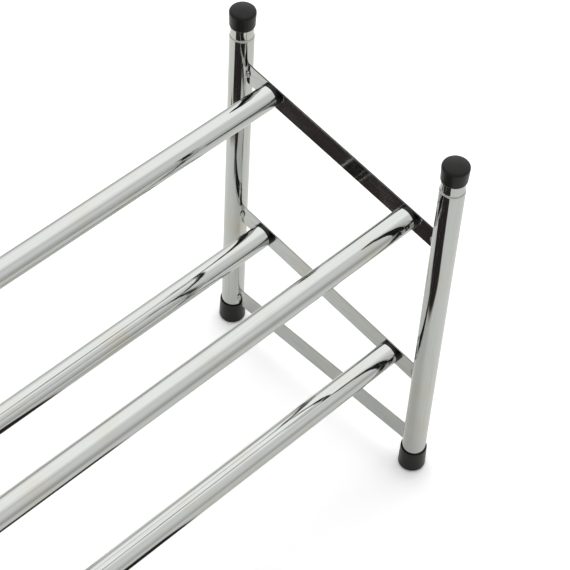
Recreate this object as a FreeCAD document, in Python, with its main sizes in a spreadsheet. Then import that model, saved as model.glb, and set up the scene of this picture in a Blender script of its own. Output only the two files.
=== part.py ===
import FreeCAD, Part
import math
import os

import Sketcher

# Pull out shoe rack. The frame of the part: X runs along the length, with the fixed half at +X and the
# sliding half at -X, Y runs from front (-) to rear (+), and Z is up from the floor. The origin is on the
# floor under the middle of the closed rack.

# Driving dimensions in millimetres: name, value, what it is.
DRIVING = (
    ("closed_spacing", 598.0, "right post axes to left post axes, pushed in"),
    ("frame_depth", 211.0, "front post axis to rear post axis"),
    ("overall_height", 349.0, "floor to the crown of the caps"),
    ("post_outer", 19.0, "post tube, diameter"),
    ("post_wall", 1.2, "post tube, wall"),
    ("swage_step", 0.7, "post, how much the neck is smaller on the radius"),
    ("swage_length", 1.2, "post, length of the shoulder between tube and neck"),
    ("swage_round", 0.4, "post, radius of the edges of the shoulder"),
    ("neck_bare", 8.8, "post, bare neck between the shoulder and the cap"),
    ("cap_height", 16.0, "cap, bottom rim to crown"),
    ("cap_wall", 0.9, "cap, wall at its bottom rim"),
    ("cap_flare", 0.6, "cap, how much the radius grows from the rim to the top"),
    ("cap_roof", 3.0, "cap, plastic above the end of the neck"),
    ("cap_crown", 2.2, "cap, rise of the domed top"),
    ("cap_round", 1.7, "cap, radius of the top edge"),
    ("foot_height", 22.0, "foot, floor to rim"),
    ("foot_wall", 1.05, "foot, wall at its rim"),
    ("foot_flare", 0.6, "foot, how much the radius grows from the rim to the floor"),
    ("foot_sole", 3.0, "foot, plastic under the end of the post"),
    ("foot_round", 2.5, "foot, radius of the edge on the floor"),
    ("strip_width", 19.0, "flat strip, height of its face"),
    ("strip_thickness", 1.2, "flat strip, thickness"),
    ("strip_round", 0.3, "flat strip, radius of its long edges"),
    ("strip_inset", 1.0, "flat strip, how far its middle lies inside the plane of the post axes"),
    ("upper_strip_drop", 71.5, "crown of the caps to the middle of the upper tier strip"),
    ("tier_spacing", 155.5, "upper tier strip to lower tier strip"),
    ("tier_rise", 29.0, "rise of a tier strip from the front post axis to the rear one"),
    ("base_strip_gap", 0.3, "rim of the feet to the lower edge of the base strip"),
    ("weld_height", 6.4, "weld bead, length up the joint"),
    ("weld_radius", 2.1, "weld bead, radius about the corner of strip and post"),
    ("tube_inset", 34.5, "post axis to the nearest tube axis, measured level"),
    ("outer_tube_outer", 19.0, "outer tube, diameter"),
    ("outer_tube_wall", 0.9, "outer tube, wall"),
    ("tube_gap", 0.6, "inner tube to the bore of the outer tube, on the radius"),
    ("inner_tube_wall", 0.9, "inner tube, wall"),
    ("closing_gap", 2.8, "bush to inner plug when pushed in"),
    ("inner_end_gap", 4.8, "guide plug to outer plug when pushed in"),
    ("plug_flange", 3.5, "end plug, thickness of the flange between tube and strip"),
    ("plug_length", 20.0, "end plug, length inside the tube"),
    ("barb_depth", 0.6, "plugs, depth of the grooves between the barbs"),
    ("barb_pitch", 8.0, "plugs, distance from barb to barb"),
    ("bush_flange", 3.0, "bush, thickness of the flange outside the mouth"),
    ("bush_proud", 0.9, "bush, how far the flange stands out from the tube"),
    ("bush_length", 22.0, "bush, length inside the outer tube"),
    ("bush_round", 0.8, "bush, radius of the outer edge of the flange"),
    ("bush_lead", 0.4, "bush, how much its bore widens at the mouth, on the radius"),
    ("guide_collar", 6.0, "guide plug, length of the collar that runs in the outer tube"),
    ("guide_length", 16.0, "guide plug, length inside the inner tube"),
    ("guide_wall", 2.4, "guide plug, wall of the spigot between its barbs"),
    ("guide_slot", 1.6, "guide plug, width of the slots that let it spring"),
    ("guide_slot_depth", 4.5, "guide plug, depth of the slots into the collar"),
    ("guide_chamfer", 0.8, "guide plug, chamfer at the leading edge of the collar"),
    ("push_clearance", 0.05, "play on the radius between pieces pushed together"),
    ("slide_clearance", 0.08, "play on the radius between pieces that slide"),
    ("hole_clearance", 0.3, "play on the radius of a screw in its hole in a strip"),
    ("screw_outer", 6.0, "tube screw, diameter"),
    ("screw_length", 20.0, "tube screw, length under the head"),
    ("screw_point", 1.0, "tube screw, chamfer at its point"),
    ("head_outer", 11.5, "tube screw, head diameter"),
    ("head_height", 3.3, "tube screw, head height"),
    ("head_round", 1.6, "tube screw, radius of the edge of the head"),
    ("cross_width", 1.7, "tube screw, width of an arm of the cross recess"),
    ("cross_length", 6.2, "tube screw, end to end of the cross recess"),
    ("cross_depth", 1.9, "tube screw, depth of the cross recess"),
)

GUIDE_SLOTS = 4
SIDES = {"right": 1, "left": -1}
ROWS = {"front": -1, "rear": 1}


class Size:
    """A length that carries its value in millimetres and its expression on the spreadsheet."""

    def __init__(self, value, text):
        self.value = value
        self.text = text

    def __add__(self, other):
        other = as_size(other)
        return Size(self.value + other.value, f"({self.text} + {other.text})")

    def __sub__(self, other):
        other = as_size(other)
        return Size(self.value - other.value, f"({self.text} - {other.text})")

    def __mul__(self, other):
        other = as_size(other)
        return Size(self.value * other.value, f"({self.text} * {other.text})")

    def __truediv__(self, other):
        other = as_size(other)
        return Size(self.value / other.value, f"({self.text} / {other.text})")

    __radd__ = __add__
    __rmul__ = __mul__

    def __neg__(self):
        return Size(-self.value, f"(0 - {self.text})")


def as_size(number):
    """Return a Size unchanged, or a plain number as a Size."""
    if isinstance(number, Size):
        return number
    return Size(float(number), repr(float(number)))


def root_of(size):
    """Return the square root of a Size."""
    return Size(math.sqrt(size.value), f"sqrt({size.text})")


class Sizes:
    """The driving dimensions, each an attribute, and the lengths that follow from them."""

    def __init__(self):
        for name, value, _ in DRIVING:
            setattr(self, name, Size(value, f"<<sizes>>.{name}"))
        self.post_radius = self.post_outer / 2
        self.neck_radius = self.post_radius - self.swage_step
        self.half_depth = self.frame_depth / 2
        self.half_closed = self.closed_spacing / 2
        self.cap_base = self.overall_height - self.cap_height
        self.upper_strip_height = self.overall_height - self.upper_strip_drop
        self.lower_strip_height = self.upper_strip_height - self.tier_spacing
        self.base_strip_height = self.foot_height + self.base_strip_gap + self.strip_width / 2
        self.strip_across = self.half_closed - self.strip_inset
        outer_face = self.strip_inset - self.strip_thickness / 2
        post_side = root_of(self.post_radius * self.post_radius - outer_face * outer_face)
        self.strip_span = self.frame_depth - 2 * post_side
        self.tube_pitch = self.frame_depth - 2 * self.tube_inset
        self.strip_face = self.strip_across - self.strip_thickness / 2
        self.screw_hole = self.screw_outer + 2 * self.hole_clearance
        self.outer_tube_bore = self.outer_tube_outer - 2 * self.outer_tube_wall
        self.inner_tube_outer = self.outer_tube_bore - 2 * self.tube_gap
        self.inner_tube_bore = self.inner_tube_outer - 2 * self.inner_tube_wall
        self.tube_end = self.strip_face - self.plug_flange
        between_flanges = 2 * self.tube_end
        self.outer_tube_length = between_flanges - self.bush_flange - self.closing_gap
        behind_guide = self.guide_collar + self.inner_end_gap
        self.inner_tube_length = between_flanges - self.plug_length - behind_guide


doc = FreeCAD.newDocument("shoe_rack")
sheet = doc.addObject("Spreadsheet::Sheet", "sizes")
sheet.Label = "sizes"
for row, (name, value, meaning) in enumerate(DRIVING, start=1):
    sheet.set(f"A{row}", meaning)
    sheet.set(f"B{row}", str(value))
    sheet.setAlias(f"B{row}", name)
doc.recompute()

size = Sizes()
sub_parts = []

ALONG_X = FreeCAD.Rotation(FreeCAD.Vector(0, 1, 0), 90)
AGAINST_X = FreeCAD.Rotation(FreeCAD.Vector(0, 1, 0), -90)
UPRIGHT = FreeCAD.Rotation()


def object_name(label, kind):
    """Return the internal name of a feature of one sub-part."""
    return f"{label}_{kind}"


def new_body(label):
    """Add an empty body with its label."""
    body = doc.addObject("PartDesign::Body", label)
    body.Label = label
    return body


def origin_plane(body, role):
    """Return one of the body's own origin planes."""
    return next(item for item in body.Origin.OriginFeatures if item.Role == role)


def new_sketch(body, role, kind):
    """Add a sketch to the body, flat on one of its origin planes."""
    sketch = body.newObject("Sketcher::SketchObject", object_name(body.Label, kind))
    sketch.AttachmentSupport = [(origin_plane(body, role), "")]
    sketch.MapMode = "FlatFace"
    return sketch


def pin_point(sketch, geometry, point, across, along):
    """Hold a point of the sketch at its two distances from the sketch's origin."""
    for length, kind, axis in ((across, "DistanceX", -2), (along, "DistanceY", -1)):
        length = as_size(length)
        if length.value == 0:
            sketch.addConstraint(Sketcher.Constraint("PointOnObject", geometry, point, axis))
            continue
        rule = Sketcher.Constraint(kind, -1, 1, geometry, point, length.value)
        index = sketch.addConstraint(rule)
        sketch.setExpression(f"Constraints[{index}]", length.text)


def draw_outline(sketch, corners, domes=()):
    """Draw a closed outline through the corners, each a pair of lengths from the origin.

    A side whose number is in domes is an arc with its centre on the sketch's vertical axis.
    """
    count = len(corners)
    places = [
        FreeCAD.Vector(as_size(across).value, as_size(along).value, 0) for across, along in corners
    ]
    for number in range(count):
        first = places[number]
        last = places[(number + 1) % count]
        if number in domes:
            sketch.addGeometry(dome_arc(first, last), False)
        else:
            sketch.addGeometry(Part.LineSegment(first, last), False)
    for number in range(count):
        start, end = (2, 1) if number in domes else (1, 2)
        following = (number + 1) % count
        following_start = 2 if following in domes else 1
        sketch.addConstraint(
            Sketcher.Constraint("Coincident", number, end, following, following_start)
        )
        pin_point(sketch, number, start, *corners[number])
        if number in domes:
            sketch.addConstraint(Sketcher.Constraint("PointOnObject", number, 3, -2))


def dome_arc(top, side):
    """Return the arc from the crown on the vertical axis down to the side, level at the crown."""
    fall = top.y - side.y
    radius = (side.x**2 + fall**2) / (2 * fall)
    centre = FreeCAD.Vector(0, top.y - radius, 0)
    circle = Part.Circle(centre, FreeCAD.Vector(0, 0, 1), radius)
    start = math.atan2(side.y - centre.y, side.x)
    return Part.ArcOfCircle(circle, start, math.pi / 2)


def draw_circle(sketch, across, along, diameter):
    """Draw a circle with its centre at two lengths from the sketch's origin."""
    centre = FreeCAD.Vector(as_size(across).value, as_size(along).value, 0)
    circle = Part.Circle(centre, FreeCAD.Vector(0, 0, 1), diameter.value / 2)
    geometry = sketch.addGeometry(circle, False)
    pin_point(sketch, geometry, 3, across, along)
    index = sketch.addConstraint(Sketcher.Constraint("Diameter", geometry, diameter.value))
    sketch.setExpression(f"Constraints[{index}]", diameter.text)


def turn(body, corners, domes=()):
    """Turn an outline of radius and height round the body's Z axis."""
    sketch = new_sketch(body, "XZ_Plane", "profile")
    draw_outline(sketch, corners, domes)
    feature = body.newObject("PartDesign::Revolution", object_name(body.Label, "turned"))
    feature.Profile = sketch
    feature.ReferenceAxis = (sketch, ["V_Axis"])
    feature.Angle = 360
    doc.recompute()


def rim_edges(feature, radius, height):
    """Return the names of the feature's round edges with that radius at that height."""
    names = []
    for number, edge in enumerate(feature.Shape.Edges, start=1):
        if edge.Degenerated or not isinstance(edge.Curve, Part.Circle):
            continue
        same_height = math.isclose(edge.Curve.Center.z, as_size(height).value, abs_tol=1e-5)
        same_radius = math.isclose(edge.Curve.Radius, radius.value, abs_tol=1e-5)
        if same_height and same_radius:
            names.append(f"Edge{number}")
    return names


def fillet_edges(body, kind, edges, radius):
    """Round edges of the body's last feature."""
    base = body.Tip
    fillet = body.newObject("PartDesign::Fillet", object_name(body.Label, kind))
    fillet.Base = (base, edges)
    fillet.setExpression("Radius", radius.text)
    doc.recompute()


def round_rims(body, kind, rims, radius):
    """Round the body's rims, each a pair of radius and height."""
    edges = []
    for rim_radius, height in rims:
        edges += rim_edges(body.Tip, rim_radius, height)
    fillet_edges(body, kind, edges, radius)


def place(body, turned, across, back, up):
    """Turn the sub-part and hold its origin at three lengths of the part's frame."""
    body.Placement = FreeCAD.Placement(FreeCAD.Vector(0, 0, 0), turned)
    for axis, length in zip("xyz", (across, back, up)):
        body.setExpression(f"Placement.Base.{axis}", as_size(length).text)


def keep(body):
    """Count the object as a sub-part that is written to its own file."""
    sub_parts.append(body)
    return body


def tube_height(strip_height, row_sign):
    """Return the height of a tube's axis, which lies on the middle line of its tier strip."""
    return strip_height + row_sign * size.tier_rise / size.frame_depth * size.tube_pitch / 2


# --- posts, caps and feet -------------------------------------------------------------------


def make_post(label, across, back):
    """Make a post: a tube whose top is swaged to a neck through a smooth shoulder."""
    body = new_body(label)
    foot_end = size.foot_sole
    neck_end = size.overall_height - size.cap_roof
    swage_top = size.cap_base - size.neck_bare
    swage_bottom = swage_top - size.swage_length
    outer = size.post_radius
    inner = outer - size.post_wall
    neck_outer = size.neck_radius
    neck_inner = neck_outer - size.post_wall
    turn(
        body,
        [
            (inner, foot_end),
            (outer, foot_end),
            (outer, swage_bottom),
            (neck_outer, swage_top),
            (neck_outer, neck_end),
            (neck_inner, neck_end),
            (neck_inner, swage_top),
            (inner, swage_bottom),
        ],
    )
    shoulder = [(outer, swage_bottom), (neck_outer, swage_top)]
    round_rims(body, "shoulder", shoulder, size.swage_round)
    place(body, UPRIGHT, across, back, 0)
    return keep(body)


def make_cap(label, across, back):
    """Make a push-on cap: a cup with a domed top, a little wider at the top than at its rim."""
    body = new_body(label)
    cavity = size.neck_radius + size.push_clearance
    cavity_depth = size.cap_height - size.cap_roof
    side_top = size.cap_height - size.cap_crown
    mouth = cavity + size.cap_wall
    widest = mouth + size.cap_flare
    turn(
        body,
        [
            (0, size.cap_height),
            (widest, side_top),
            (mouth, 0),
            (cavity, 0),
            (cavity, cavity_depth),
            (0, cavity_depth),
        ],
        domes=(0,),
    )
    round_rims(body, "top_edge", [(widest, side_top)], size.cap_round)
    place(body, UPRIGHT, across, back, size.cap_base)
    return keep(body)


def make_foot(label, across, back):
    """Make a push-on foot: a cup that flares to the floor and has a rounded edge there."""
    body = new_body(label)
    cavity = size.post_radius + size.push_clearance
    mouth = cavity + size.foot_wall
    widest = mouth + size.foot_flare
    turn(
        body,
        [
            (0, 0),
            (widest, 0),
            (mouth, size.foot_height),
            (cavity, size.foot_height),
            (cavity, size.foot_sole),
            (0, size.foot_sole),
        ],
    )
    round_rims(body, "floor_edge", [(widest, 0)], size.foot_round)
    place(body, UPRIGHT, across, back, 0)
    return keep(body)


# --- flat strips and their welds ------------------------------------------------------------


def make_strip(label, across, height, rise, with_holes):
    """Make a flat strip between the posts of one frame, with its ends cut upright to meet them."""
    body = new_body(label)
    slope = rise / size.frame_depth
    end_height = size.strip_width * root_of(slope * slope + 1)
    end_rise = slope * size.strip_span
    sketch = new_sketch(body, "YZ_Plane", "face")
    corners = [
        (0, 0),
        (size.strip_span, end_rise),
        (size.strip_span, end_rise + end_height),
        (0, end_height),
    ]
    draw_outline(sketch, corners)
    if with_holes:
        for row_sign in ROWS.values():
            along = size.strip_span / 2 + row_sign * size.tube_pitch / 2
            draw_circle(sketch, along, slope * along + end_height / 2, size.screw_hole)
    pad = body.newObject("PartDesign::Pad", object_name(label, "flat"))
    pad.Profile = sketch
    pad.Midplane = True
    pad.setExpression("Length", size.strip_thickness.text)
    doc.recompute()
    fillet_edges(body, "edges", long_edges(pad), size.strip_round)
    low_corner = height - end_rise / 2 - end_height / 2
    place(body, UPRIGHT, across, -size.strip_span / 2, low_corner)
    return keep(body)


def long_edges(pad):
    """Return the names of the four straight edges that run the length of a strip."""
    names = []
    for number, edge in enumerate(pad.Shape.Edges, start=1):
        runs_along = abs(edge.Vertexes[0].Y - edge.Vertexes[-1].Y) > size.strip_span.value / 2
        if runs_along:
            names.append(f"Edge{number}")
    return names


def make_bead(label, side_sign, face_sign, row_sign, height):
    """Make one upright weld bead in the corner between a face of a strip and a post."""
    face = side_sign * size.strip_across + face_sign * size.strip_thickness / 2
    corner = row_sign * size.strip_span / 2
    foot = height - size.weld_height / 2
    run = doc.addObject("Part::Cylinder", object_name(label, "run"))
    run.setExpression("Radius", size.weld_radius.text)
    run.setExpression("Height", size.weld_height.text)
    place(run, UPRIGHT, face, corner, foot)
    post = doc.addObject("Part::Cylinder", object_name(label, "post_side"))
    post.setExpression("Radius", size.post_radius.text)
    post.setExpression("Height", size.weld_height.text)
    place(post, UPRIGHT, side_sign * size.half_closed, row_sign * size.half_depth, foot)
    span = 2 * size.weld_radius
    strip = doc.addObject("Part::Box", object_name(label, "strip_side"))
    strip.setExpression("Length", span.text)
    strip.setExpression("Width", (2 * span).text)
    strip.setExpression("Height", size.weld_height.text)
    behind_face = face - span if face_sign > 0 else face
    place(strip, UPRIGHT, behind_face, corner - span, foot)
    off_post = doc.addObject("Part::Cut", object_name(label, "off_post"))
    off_post.Base = run
    off_post.Tool = post
    bead = doc.addObject("Part::Cut", label)
    bead.Base = off_post
    bead.Tool = strip
    return bead


def make_welds(label, side_sign, strips):
    """Make the group of weld beads of one frame: both faces of both ends of each strip."""
    beads = []
    for height, rise in strips:
        for row_sign in ROWS.values():
            end_height = height + row_sign * rise / size.frame_depth * size.strip_span / 2
            for face_sign in (-1, 1):
                name = f"{label}_bead_{len(beads) + 1}"
                beads.append(make_bead(name, side_sign, face_sign, row_sign, end_height))
    group = doc.addObject("Part::Compound", label)
    group.Label = label
    group.Links = beads
    doc.recompute()
    return keep(group)


# --- tubes and what is in their ends --------------------------------------------------------


def make_tube(label, outer, bore, length, turned, across, back, up):
    """Make a straight tube from its plugged end."""
    body = new_body(label)
    sketch = new_sketch(body, "XY_Plane", "section")
    draw_circle(sketch, 0, 0, outer)
    draw_circle(sketch, 0, 0, bore)
    pad = body.newObject("PartDesign::Pad", object_name(label, "drawn"))
    pad.Profile = sketch
    pad.setExpression("Length", length.text)
    doc.recompute()
    place(body, turned, across, back, up)
    return keep(body)


def barbed_side(core, crest, start, length, pitch):
    """Return the outline of a barbed spigot from its root at start to its tip, as corners.

    Each barb is widest on the side of the root and falls to the core towards the tip.
    """
    barbs = max(1, int(length.value // pitch.value))
    corners = []
    for barb in range(barbs):
        barb_start = start + length / barbs * barb
        corners.append((crest, barb_start))
        corners.append((core, barb_start + length / barbs))
    return corners


def make_end_plug(label, tube_outer, bore, turned, across, back, up):
    """Make an end plug: a flange between tube and strip, and a barbed spigot in the tube."""
    body = new_body(label)
    crest = bore / 2 - size.push_clearance
    core = crest - size.barb_depth
    screw = size.screw_outer / 2 + size.push_clearance
    spigot = barbed_side(core, crest, size.plug_flange, size.plug_length, size.barb_pitch)
    flange = tube_outer / 2
    outline = [(screw, 0), (flange, 0), (flange, size.plug_flange)]
    outline += spigot
    outline.append((screw, size.plug_flange + size.plug_length))
    turn(body, outline)
    place(body, turned, across, back, up)
    return keep(body)


def make_bush(label, turned, across, back, up):
    """Make the bush in an outer tube's mouth: a rounded flange and a thin sleeve."""
    body = new_body(label)
    bore = size.inner_tube_outer / 2 + size.slide_clearance
    sleeve = size.outer_tube_bore / 2 - size.push_clearance
    flange = size.outer_tube_outer / 2 + size.bush_proud
    whole = size.bush_flange + size.bush_length
    turn(
        body,
        [
            (bore + size.bush_lead, 0),
            (flange, 0),
            (flange, size.bush_flange),
            (sleeve, size.bush_flange),
            (sleeve, whole),
            (bore, whole),
            (bore, 2 * size.bush_lead),
        ],
    )
    round_rims(body, "flange_edge", [(flange, 0)], size.bush_round)
    place(body, turned, across, back, up)
    return keep(body)


def make_guide(label, turned, across, back, up):
    """Make a guide plug: a slotted collar that runs in the outer tube, on a barbed spigot."""
    body = new_body(label)
    crest = size.inner_tube_bore / 2 - size.push_clearance
    core = crest - size.barb_depth
    collar = size.outer_tube_bore / 2 - size.slide_clearance
    bore = core - size.guide_wall
    spigot = barbed_side(core, crest, size.guide_collar, size.guide_length, size.barb_pitch)
    lead = size.guide_chamfer
    outline = [(bore, 0), (collar - lead, 0), (collar, lead), (collar, size.guide_collar)]
    outline += spigot
    outline.append((bore, size.guide_collar + size.guide_length))
    turn(body, outline)
    base = body.Tip
    sketch = new_sketch(body, "XZ_Plane", "slot_side")
    slot_end = size.guide_slot_depth
    in_bore = bore / 2
    outside = 2 * collar
    corners = [(in_bore, 0), (outside, 0), (outside, slot_end), (in_bore, slot_end)]
    draw_outline(sketch, corners)
    slot = body.newObject("PartDesign::Pocket", object_name(label, "slot"))
    slot.Profile = sketch
    slot.Midplane = True
    slot.setExpression("Length", size.guide_slot.text)
    doc.recompute()
    ring = body.newObject("PartDesign::PolarPattern", object_name(label, "slots"))
    ring.Originals = [slot]
    ring.Axis = (sketch, ["V_Axis"])
    ring.Angle = 360
    ring.Occurrences = GUIDE_SLOTS
    body.Tip = ring
    doc.recompute()
    if ring.Shape.Volume >= base.Shape.Volume:
        raise ValueError(f"{label}: the slots cut nothing")
    place(body, turned, across, back, up)
    return keep(body)


def make_screw(label, turned, across, back, up):
    """Make a pan-head screw with a cross recess, its head up to its own origin."""
    body = new_body(label)
    shank = size.screw_outer / 2
    head = size.head_outer / 2
    tip = shank - size.screw_point
    whole = size.head_height + size.screw_length
    turn(
        body,
        [
            (0, 0),
            (head, 0),
            (head, size.head_height),
            (shank, size.head_height),
            (shank, whole - size.screw_point),
            (tip, whole),
            (0, whole),
        ],
    )
    round_rims(body, "head_edge", [(head, 0)], size.head_round)
    before = body.Tip.Shape.Volume
    sketch = new_sketch(body, "XY_Plane", "cross")
    half_arm = size.cross_width / 2
    half_cross = size.cross_length / 2
    quarter = [(half_arm, half_cross), (half_arm, half_arm), (half_cross, half_arm)]
    corners = list(quarter)
    corners += [(x, -y) for x, y in reversed(quarter)]
    corners += [(-x, -y) for x, y in quarter]
    corners += [(-x, y) for x, y in reversed(quarter)]
    draw_outline(sketch, corners)
    cross = body.newObject("PartDesign::Pocket", object_name(label, "recess"))
    cross.Profile = sketch
    cross.Reversed = True
    cross.setExpression("Length", size.cross_depth.text)
    doc.recompute()
    if body.Tip.Shape.Volume >= before:
        raise ValueError(f"{label}: the recess cuts nothing")
    place(body, turned, across, back, up)
    return body


# --- the two halves -------------------------------------------------------------------------

TIERS = {"upper": size.upper_strip_height, "lower": size.lower_strip_height}


def make_frame(side, sign):
    """Make one end frame: posts, caps, feet, strips and welds."""
    across = sign * size.half_closed
    for row, row_sign in ROWS.items():
        back = row_sign * size.half_depth
        make_post(f"post_{row}_{side}", across, back)
        make_cap(f"cap_{row}_{side}", across, back)
        make_foot(f"foot_{row}_{side}", across, back)
    level = as_size(0)
    middle = sign * size.strip_across
    for tier, height in TIERS.items():
        make_strip(f"tier_strip_{tier}_{side}", middle, height, size.tier_rise, True)
    make_strip(f"base_strip_{side}", middle, size.base_strip_height, level, False)
    strips = [(height, size.tier_rise) for height in TIERS.values()]
    strips.append((size.base_strip_height, level))
    make_welds(f"welds_{side}", sign, strips)


def make_tube_set(tier, height, row, row_sign):
    """Make an outer and an inner tube with their plugs, bush and guide; return the two screws."""
    back = row_sign * size.tube_pitch / 2
    up = tube_height(height, row_sign)
    name = f"{tier}_{row}"
    face = size.strip_face
    outer = size.outer_tube_outer
    inner = size.inner_tube_outer
    outer_bore = size.outer_tube_bore
    inner_bore = size.inner_tube_bore
    outer_length = size.outer_tube_length
    inner_length = size.inner_tube_length
    end = size.tube_end
    make_tube(f"outer_tube_{name}", outer, outer_bore, outer_length, AGAINST_X, end, back, up)
    make_end_plug(f"outer_plug_{name}", outer, outer_bore, AGAINST_X, face, back, up)
    mouth = end - outer_length - size.bush_flange
    make_bush(f"mouth_bush_{name}", ALONG_X, mouth, back, up)
    make_tube(f"inner_tube_{name}", inner, inner_bore, inner_length, ALONG_X, -end, back, up)
    make_end_plug(f"inner_plug_{name}", inner, inner_bore, ALONG_X, -face, back, up)
    guide_end = inner_length - end + size.guide_collar
    make_guide(f"guide_plug_{name}", AGAINST_X, guide_end, back, up)
    head_top = size.strip_across + size.strip_thickness / 2 + size.head_height
    right = make_screw(f"tube_screw_{name}_right", AGAINST_X, head_top, back, up)
    left = make_screw(f"tube_screw_{name}_left", ALONG_X, -head_top, back, up)
    return right, left


def group_screws(label, screws):
    """Keep the four screws of one frame as one group."""
    group = doc.addObject("Part::Compound", label)
    group.Label = label
    group.Links = screws
    doc.recompute()
    return keep(group)


for side, sign in SIDES.items():
    make_frame(side, sign)
screw_pairs = [
    make_tube_set(tier, height, row, row_sign)
    for tier, height in TIERS.items()
    for row, row_sign in ROWS.items()
]
group_screws("tube_screws_right", [right for right, left in screw_pairs])
group_screws("tube_screws_left", [left for right, left in screw_pairs])
doc.recompute()

# --- checks and files -----------------------------------------------------------------------

faults = [item.Name for item in doc.Objects if {"Invalid", "Error"} & set(item.State)]
faults += [part.Label for part in sub_parts if part.Shape.isNull() or not part.Shape.isValid()]
if faults:
    raise ValueError(f"objects that failed: {faults}")

os.makedirs("parts", exist_ok=True)
for part in sub_parts:
    part.Shape.exportStep(os.path.join("parts", f"{part.Label}.step"))
print(len(sub_parts), "sub-parts written")
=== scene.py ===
"""Looks of the pull-out shoe rack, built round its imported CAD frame.

The rack is two end frames of chromed tube and flat strip. Four outer tubes are screwed to the right
frame and four inner tubes to the left one, and the inner tubes slide in the outer ones.
X runs along the rack, Y from front to rear and Z up from the floor. Sizes are in millimetres.
"""

import logging
import math
from collections.abc import Callable, Iterator
from contextlib import contextmanager
from dataclasses import dataclass, field, replace
from enum import Enum

import bmesh
import bpy
from mathutils import Matrix, Vector


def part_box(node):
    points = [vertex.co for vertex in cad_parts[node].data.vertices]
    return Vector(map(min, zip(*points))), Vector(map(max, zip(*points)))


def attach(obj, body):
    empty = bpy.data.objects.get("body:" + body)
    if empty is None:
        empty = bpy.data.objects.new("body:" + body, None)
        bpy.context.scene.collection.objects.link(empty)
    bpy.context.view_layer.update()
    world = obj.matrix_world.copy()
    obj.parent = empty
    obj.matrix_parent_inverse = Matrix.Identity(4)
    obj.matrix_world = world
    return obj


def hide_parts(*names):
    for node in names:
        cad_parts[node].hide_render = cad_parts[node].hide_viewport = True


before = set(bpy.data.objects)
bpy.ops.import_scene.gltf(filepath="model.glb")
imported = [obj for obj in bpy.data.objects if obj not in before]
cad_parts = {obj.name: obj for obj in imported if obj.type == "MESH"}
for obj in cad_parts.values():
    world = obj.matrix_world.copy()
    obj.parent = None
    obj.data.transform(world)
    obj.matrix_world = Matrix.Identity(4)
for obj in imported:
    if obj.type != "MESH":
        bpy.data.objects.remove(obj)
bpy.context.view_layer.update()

log = logging.getLogger("shoe_rack")

MM = 0.001

# Sides of the turned pieces, and faces across each of their rounded edges.
ROUND_SIDES = 96
SCREW_SIDES = 48
BEAD_SIDES = 28
ROUNDING_STEPS = 6

# How far off a place may lie and still be picked, and how near points are merged, in millimetres.
PICK_GAP = 0.002
MERGE_GAP = 0.001

# Edges blunter than this are shaded smooth, and large faces then keep their own direction.
SMOOTH_ANGLE = math.radians(32)
LARGE_FACE_WEIGHT = 100

Piece = bpy.types.Object
Material = bpy.types.Material
Tree = bpy.types.NodeTree
Node = bpy.types.Node
Socket = bpy.types.NodeSocket
Sockets = bpy.types.NodeOutputs
Span = tuple[float, float]
Place = tuple[float, float, float]


class Side(Enum):
    """The two end frames, each with the sign of its X."""

    RIGHT = 1
    LEFT = -1

    @property
    def body(self) -> str:
        """Return the CAD body that this end rides on."""
        return f"{self.word}_half"

    @property
    def word(self) -> str:
        """Return the side's name as the nodes spell it."""
        return self.name.lower()


class Row(Enum):
    """Front and rear, each with the sign of its Y."""

    FRONT = -1
    REAR = 1

    @property
    def word(self) -> str:
        """Return the row's name as the nodes spell it."""
        return self.name.lower()


class Tier(Enum):
    """The two tiers that carry shoes."""

    UPPER = "upper"
    LOWER = "lower"


class Run(Enum):
    """The direction in which a tube or strip was drawn, as the turn that lays local Z along it."""

    UPRIGHT = (0.0, 0.0, 0.0)
    ALONG_X = (0.0, math.pi / 2, 0.0)
    AGAINST_X = (0.0, -math.pi / 2, 0.0)
    ALONG_Y = (-math.pi / 2, 0.0, 0.0)


class Slot(Enum):
    """The record's material slots."""

    CHROME = "chromed_steel"
    SCREW = "screw_steel"
    BLACK = "black_plastic"
    INSERT = "insert_plastic"


# --- nodes and colours ------------------------------------------------------------------------


def linear(hex_colour: str) -> tuple[float, float, float, float]:
    """Turn an sRGB hex colour into linear RGBA.

    Args:
        hex_colour: Six hex digits after a #.

    Returns:
        Linear red, green and blue with an alpha of 1.
    """
    channels = [int(hex_colour[i : i + 2], 16) / 255 for i in (1, 3, 5)]
    bent = [c / 12.92 if c <= 0.04045 else ((c + 0.055) / 1.055) ** 2.4 for c in channels]
    return (*bent, 1.0)


def add_node(
    tree: Tree,
    kind: str,
    inputs: dict[str | int, object] | tuple[object, ...] = (),
    **settings: object,
) -> Node:
    """Add a node with its settings and links.

    Args:
        tree: The tree that gets the node.
        kind: The node's type name, without ShaderNode before it.
        inputs: Values for its inputs, by name or number, or in order. An output socket is linked,
            and a node stands for its first output in use.
        settings: Values of the node's own properties.

    Returns:
        The new node.
    """
    node = tree.nodes.new(f"ShaderNode{kind}")
    for name, value in settings.items():
        setattr(node, name, value)
    given = inputs if isinstance(inputs, dict) else dict(enumerate(inputs))
    for name, value in given.items():
        in_use = (entry for entry in node.inputs if entry.enabled and entry.name == name)
        socket = node.inputs[name] if isinstance(name, int) else next(in_use)
        if isinstance(value, Node):
            value = next(entry for entry in value.outputs if entry.enabled)
        if isinstance(value, Socket):
            tree.links.new(value, socket)
        else:
            socket.default_value = value
    return node


def new_material(name: str) -> tuple[Material, Tree]:
    """Start a material with an empty node tree.

    Args:
        name: The finish, as the material's name.

    Returns:
        The material and its tree.
    """
    material = bpy.data.materials.new(name)
    material.use_nodes = True
    material.node_tree.nodes.clear()
    return material, material.node_tree


def close_surface(tree: Tree, shader: Node) -> None:
    """Link a shader to a new material output."""
    add_node(tree, "OutputMaterial", {"Surface": shader})


# --- finishes ---------------------------------------------------------------------------------


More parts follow.
